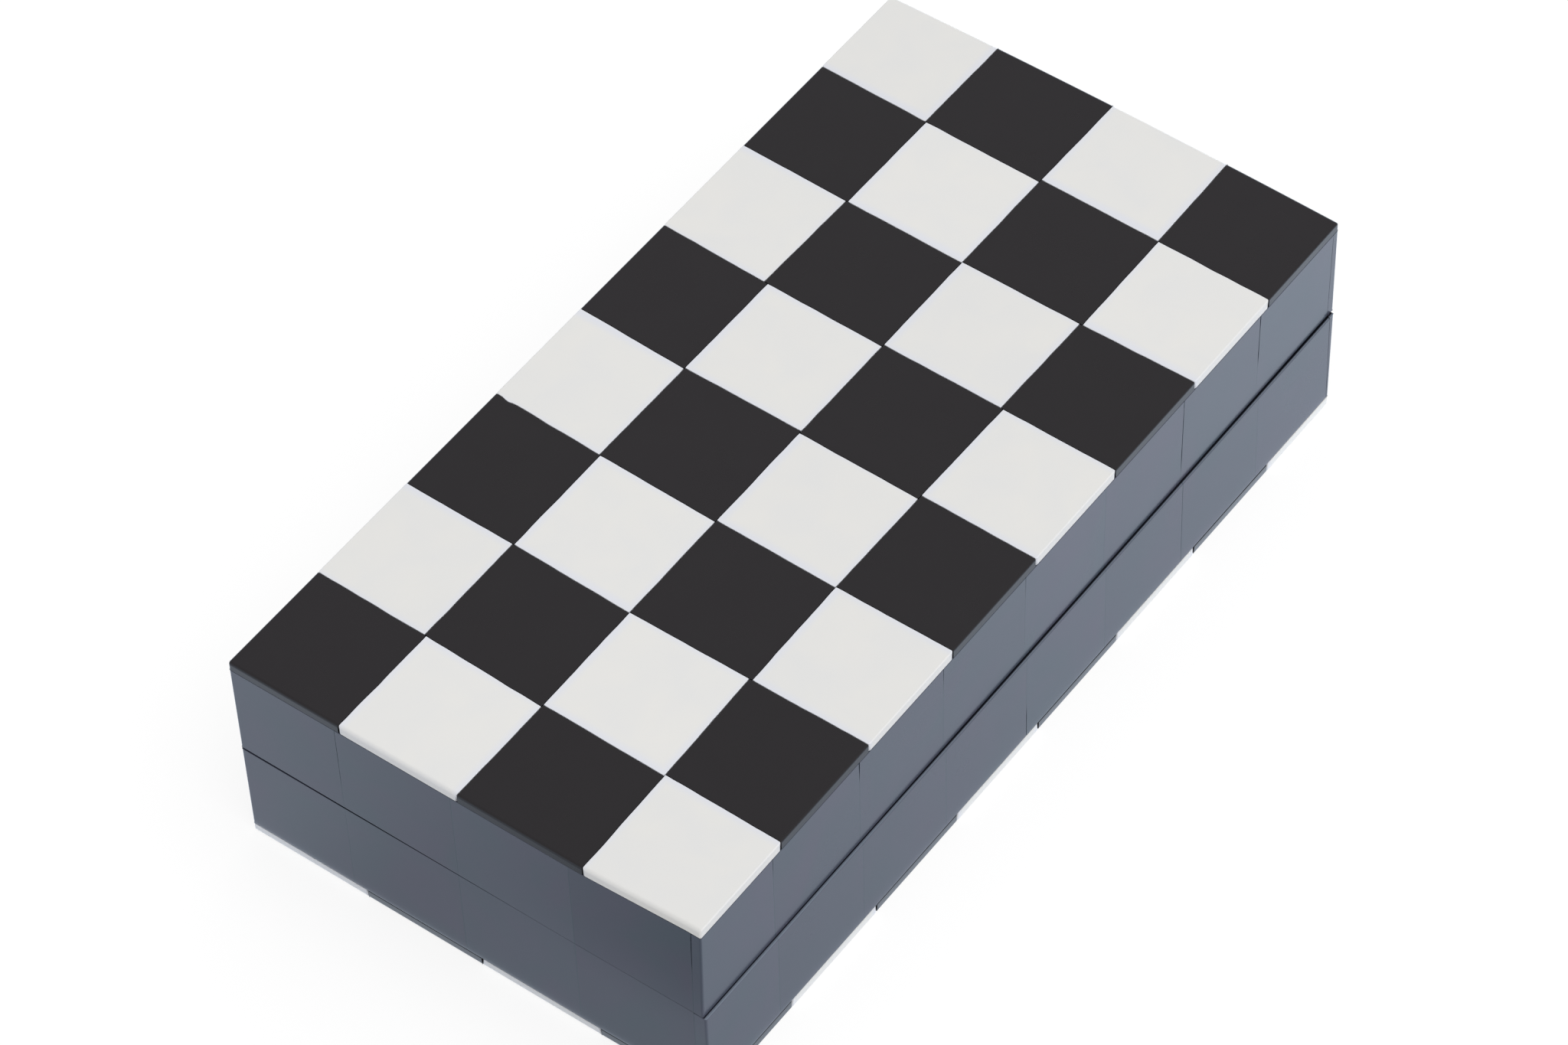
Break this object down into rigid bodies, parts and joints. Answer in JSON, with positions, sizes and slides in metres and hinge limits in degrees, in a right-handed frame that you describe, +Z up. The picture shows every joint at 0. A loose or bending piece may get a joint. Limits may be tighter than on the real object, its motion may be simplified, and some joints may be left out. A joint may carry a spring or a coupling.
{
  "type": "folding chess board",
  "caption": "Chequered board in two hinged halves that fold face outwards into a felt-lined case, with tiled sides, butt hinges and magnets in the rims.",
  "frame": {"origin": "middle of the lower half's playing face, on which the closed case lies, measured as wide as the upper half (the lower half's front stands 1 mm further out)", "axes": "+X along the case, from the end that the picture shows to the far end; +Y across it, from the opening side to the hinged back; +Z up out of the upper half's playing face"},
  "size_m": [0.353, 0.1838, 0.0876],
  "materials": {
    "white_tile": "satin cast resin",
    "black_tile": "satin cast resin",
    "side_tile": "polished cast resin",
    "core_wood": "sanded, unpolished",
    "felt": "pressed wool felt",
    "hinge_brass": "brushed",
    "hinge_pin": "drawn",
    "screw_brass": "turned",
    "magnet": "nickel plated"
  },
  "bodies": {
    "lower_half": {"lower_white_tiles": "white_tile", "lower_black_tiles": "black_tile", "lower_deck_panel": "core_wood", "lower_front_wall": "core_wood", "lower_back_wall": "core_wood", "lower_left_wall": "core_wood", "lower_right_wall": "core_wood", "lower_front_cladding": "side_tile", "lower_back_cladding": "side_tile", "lower_left_cladding": "side_tile", "lower_right_cladding": "side_tile", "lower_floor_felt": "felt", "lower_front_felt": "felt", "lower_back_felt": "felt", "lower_left_felt": "felt", "lower_right_felt": "felt", "lower_magnets": "magnet", "lower_left_hinge_leaf": "hinge_brass", "lower_right_hinge_leaf": "hinge_brass", "lower_hinge_screws": "screw_brass", "left_hinge_pin": "hinge_pin", "right_hinge_pin": "hinge_pin"},
    "upper_half": {"upper_white_tiles": "white_tile", "upper_black_tiles": "black_tile", "upper_deck_panel": "core_wood", "upper_front_wall": "core_wood", "upper_back_wall": "core_wood", "upper_left_wall": "core_wood", "upper_right_wall": "core_wood", "upper_front_cladding": "side_tile", "upper_back_cladding": "side_tile", "upper_left_cladding": "side_tile", "upper_right_cladding": "side_tile", "upper_floor_felt": "felt", "upper_front_felt": "felt", "upper_back_felt": "felt", "upper_left_felt": "felt", "upper_right_felt": "felt", "upper_magnets": "magnet", "upper_left_hinge_leaf": "hinge_brass", "upper_right_hinge_leaf": "hinge_brass", "upper_hinge_screws": "screw_brass"}
  },
  "joints": [
    {"name": "fold", "type": "hinge", "parent": "lower_half", "child": "upper_half", "pos_m": [0, 0.09055, 0.0438], "axis": [-1, 0, 0], "range_deg": [0, 180]}
  ]
}
